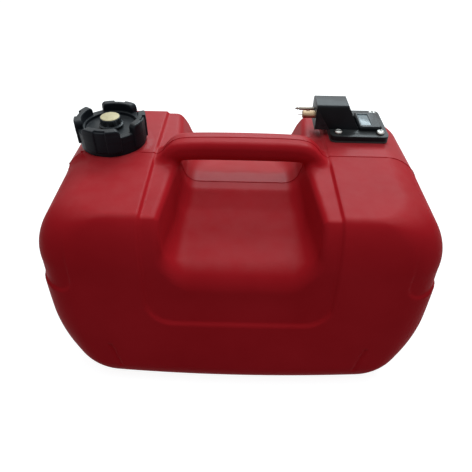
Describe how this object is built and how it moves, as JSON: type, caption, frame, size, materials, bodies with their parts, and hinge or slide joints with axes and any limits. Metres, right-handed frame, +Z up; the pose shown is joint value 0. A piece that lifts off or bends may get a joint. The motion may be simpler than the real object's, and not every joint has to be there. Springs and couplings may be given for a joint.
{
  "type": "outboard fuel tank",
  "caption": "Portable red plastic fuel tank for an outboard motor, with a moulded carry handle, a screw cap with vent, and a hose outlet with a float gauge.",
  "frame": {"origin": "centre of the underside of the part's box, on the surface that the tank stands on", "axes": "+X along the tank from the filler cap to the outlet unit, +Y from the front seen in the picture to the back, +Z up"},
  "size_m": [0.393, 0.2822, 0.25],
  "materials": {
    "tank_red": "semi-gloss moulded polyethylene",
    "rubber_black": "matt",
    "plastic_black": "satin moulded",
    "brass": "turned",
    "brass_pale": "pale, brushed",
    "steel": "bright",
    "window_clear": "clear",
    "plastic_white": "satin moulded",
    "foam_dark": "matt closed-cell foam"
  },
  "bodies": {
    "tank": {"tank_shell": "tank_red", "sender_gasket": "rubber_black", "sender_housing": "plastic_black", "sender_screw_1": "steel", "sender_screw_2": "steel", "sender_screw_3": "steel", "sender_screw_4": "steel", "gauge_window": "window_clear", "sender_bracket": "steel", "bracket_screw_1": "steel", "bracket_screw_2": "steel", "indicator_axle": "steel", "float_pivot_pin": "steel", "pickup_tube": "plastic_white", "pickup_strainer": "plastic_white", "fuel_nipple": "brass", "check_spring": "steel", "guide_pin": "brass"},
    "cap_lift": {"cap_seal": "rubber_black"},
    "cap": {"cap_body": "plastic_black"},
    "vent_lift": {"vent_stem": "brass", "vent_washer": "rubber_black"},
    "vent": {"vent_knob": "plastic_black", "vent_disc": "brass_pale"},
    "drum": {"indicator_drum": "plastic_white"},
    "float": {"float_arm": "plastic_white", "float_body": "foam_dark"},
    "check_valve": {"check_plunger": "steel"}
  },
  "joints": [
    {"name": "cap_rise", "type": "slide", "parent": "tank", "child": "cap_lift", "axis": [0, 0, 1], "range_m": [0, 0.01]},
    {"name": "cap_turn", "type": "hinge", "parent": "cap_lift", "child": "cap", "pos_m": [-0.14, 0.021, 0.229], "axis": [0, 0, 1], "range_deg": [0, 720]},
    {"name": "vent_rise", "type": "slide", "parent": "cap", "child": "vent_lift", "axis": [0, 0, 1], "range_m": [0, 0.00187]},
    {"name": "vent_turn", "type": "hinge", "parent": "vent_lift", "child": "vent", "pos_m": [-0.14, 0.021, 0.24], "axis": [0, 0, 1], "range_deg": [0, 540]},
    {"name": "float_swing", "type": "hinge", "parent": "tank", "child": "float", "pos_m": [0.142, 0.05975, 0.1868], "axis": [-1, 0, 0], "range_deg": [0, 77]},
    {"name": "drum_turn", "type": "hinge", "parent": "tank", "child": "drum", "pos_m": [0.1389, 0.05975, 0.2093], "axis": [-1, 0, 0], "range_deg": [-155, 1]},
    {"name": "check_push", "type": "slide", "parent": "tank", "child": "check_valve", "axis": [1, 0, 0], "range_m": [0, 0.003], "stiffness_N_per_m": 300, "springref_m": -0.003, "deforming": ["check_spring"]}
  ],
  "couplings": [
    {"joint": "cap_rise", "follows": "cap_turn", "m_per_rad": 0.00079577},
    {"joint": "vent_rise", "follows": "vent_turn", "m_per_rad": 0.00019894},
    {"joint": "drum_turn", "follows": "float_swing", "ratio": -2}
  ]
}
